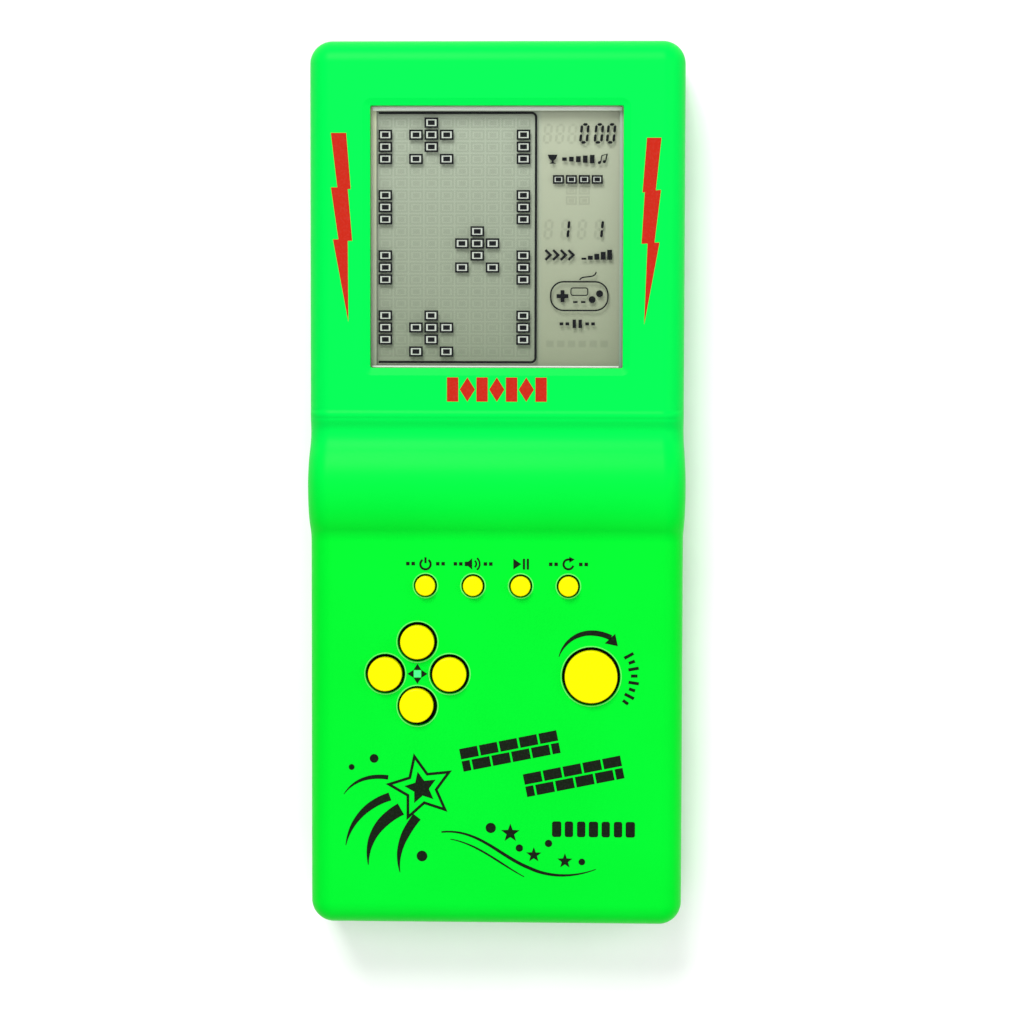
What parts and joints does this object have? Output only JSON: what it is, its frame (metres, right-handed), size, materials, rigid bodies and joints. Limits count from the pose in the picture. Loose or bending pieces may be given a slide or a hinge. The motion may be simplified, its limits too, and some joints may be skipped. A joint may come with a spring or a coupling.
{
  "type": "handheld lcd game",
  "caption": "Slim handheld LCD brick game: square screen window, raised roll across the body, small keys, a cross of round keys, a large turn key and a battery door behind.",
  "frame": {"origin": "centre of the flat back, on the surface that the game rests on", "axes": "+Z out of the face, +Y up the face towards the screen end, +X towards the player's right"},
  "size_m": [0.0768, 0.18, 0.027],
  "materials": {
    "green_plastic": "moulded, glossy, saturated green",
    "yellow_plastic": "moulded, satin gloss, lemon yellow",
    "clear_plastic": "clear polished plastic",
    "polarizing_film": "thin grey-green film",
    "display_glass": "grey-green display glass",
    "reflector_film": "silvery grey film",
    "black_rubber": "matt black rubber",
    "silicone": "translucent grey silicone",
    "carbon_rubber": "matt black conductive rubber",
    "board_laminate": "brown paper laminate",
    "black_epoxy": "glossy black resin",
    "capacitor_sleeve": "shrunk dark blue sleeve",
    "dipped_ceramic": "dipped orange-brown coating",
    "resistor_body": "tan coating with tinned leads",
    "cell_sleeve": "metal can with a printed blue sleeve",
    "spring_steel": "nickel-plated spring steel",
    "screw_steel": "zinc-plated steel",
    "red_lead": "red insulation",
    "black_lead": "black insulation",
    "brass_disc": "rolled brass",
    "white_ceramic": "silvered white ceramic"
  },
  "bodies": {
    "case": {"front_shell": "green_plastic", "rear_shell": "green_plastic", "screen_lens": "clear_plastic", "lcd_polarizer": "polarizing_film", "lcd_front_glass": "display_glass", "lcd_rear_glass": "display_glass", "lcd_reflector": "reflector_film", "zebra_strip": "black_rubber", "key_mat": "silicone", "main_board": "board_laminate", "chip_blob": "black_epoxy", "can_capacitor": "capacitor_sleeve", "disc_capacitor": "dipped_ceramic", "battery_1": "cell_sleeve", "battery_2": "cell_sleeve", "contact_negative": "spring_steel", "contact_positive": "spring_steel", "contact_bridge": "spring_steel", "lead_positive": "red_lead", "lead_negative": "black_lead", "sounder_disc": "brass_disc", "sounder_ceramic": "white_ceramic", "sounder_lead_1": "red_lead", "sounder_lead_2": "black_lead", "case_screw_1": "screw_steel", "board_screw_1": "screw_steel", "case_screw_2": "screw_steel", "board_screw_2": "screw_steel", "case_screw_3": "screw_steel", "board_screw_3": "screw_steel", "case_screw_4": "screw_steel", "board_screw_4": "screw_steel", "case_screw_5": "screw_steel", "board_screw_5": "screw_steel", "case_screw_6": "screw_steel", "board_screw_6": "screw_steel", "resistor_1": "resistor_body", "resistor_2": "resistor_body", "resistor_3": "resistor_body"},
    "battery_door": {"battery_door": "green_plastic"},
    "power_key": {"key_power": "yellow_plastic", "pill_power": "carbon_rubber"},
    "sound_key": {"key_sound": "yellow_plastic", "pill_sound": "carbon_rubber"},
    "start_key": {"key_start": "yellow_plastic", "pill_start": "carbon_rubber"},
    "restart_key": {"key_restart": "yellow_plastic", "pill_restart": "carbon_rubber"},
    "up_key": {"key_up": "yellow_plastic", "pill_up": "carbon_rubber"},
    "left_key": {"key_left": "yellow_plastic", "pill_left": "carbon_rubber"},
    "right_key": {"key_right": "yellow_plastic", "pill_right": "carbon_rubber"},
    "down_key": {"key_down": "yellow_plastic", "pill_down": "carbon_rubber"},
    "turn_key": {"key_turn": "yellow_plastic", "pill_turn": "carbon_rubber"}
  },
  "joints": [
    {"name": "door_hinge", "type": "hinge", "parent": "case", "child": "battery_door", "pos_m": [0, -0.00615, 0.00095], "axis": [-1, 0, 0], "range_deg": [0, 75]},
    {"name": "power_press", "type": "slide", "parent": "case", "child": "power_key", "axis": [0, 0, -1], "range_m": [0, 0.001], "stiffness_N_per_m": 250, "springref_m": -0.0016, "deforming": ["key_mat"]},
    {"name": "sound_press", "type": "slide", "parent": "case", "child": "sound_key", "axis": [0, 0, -1], "range_m": [0, 0.001], "stiffness_N_per_m": 250, "springref_m": -0.0016, "deforming": ["key_mat"]},
    {"name": "start_press", "type": "slide", "parent": "case", "child": "start_key", "axis": [0, 0, -1], "range_m": [0, 0.001], "stiffness_N_per_m": 250, "springref_m": -0.0016, "deforming": ["key_mat"]},
    {"name": "restart_press", "type": "slide", "parent": "case", "child": "restart_key", "axis": [0, 0, -1], "range_m": [0, 0.001], "stiffness_N_per_m": 250, "springref_m": -0.0016, "deforming": ["key_mat"]},
    {"name": "up_press", "type": "slide", "parent": "case", "child": "up_key", "axis": [0, 0, -1], "range_m": [0, 0.001], "stiffness_N_per_m": 250, "springref_m": -0.0016, "deforming": ["key_mat"]},
    {"name": "left_press", "type": "slide", "parent": "case", "child": "left_key", "axis": [0, 0, -1], "range_m": [0, 0.001], "stiffness_N_per_m": 250, "springref_m": -0.0016, "deforming": ["key_mat"]},
    {"name": "right_press", "type": "slide", "parent": "case", "child": "right_key", "axis": [0, 0, -1], "range_m": [0, 0.001], "stiffness_N_per_m": 250, "springref_m": -0.0016, "deforming": ["key_mat"]},
    {"name": "down_press", "type": "slide", "parent": "case", "child": "down_key", "axis": [0, 0, -1], "range_m": [0, 0.001], "stiffness_N_per_m": 250, "springref_m": -0.0016, "deforming": ["key_mat"]},
    {"name": "turn_press", "type": "slide", "parent": "case", "child": "turn_key", "axis": [0, 0, -1], "range_m": [0, 0.001], "stiffness_N_per_m": 250, "springref_m": -0.0016, "deforming": ["key_mat"]}
  ]
}
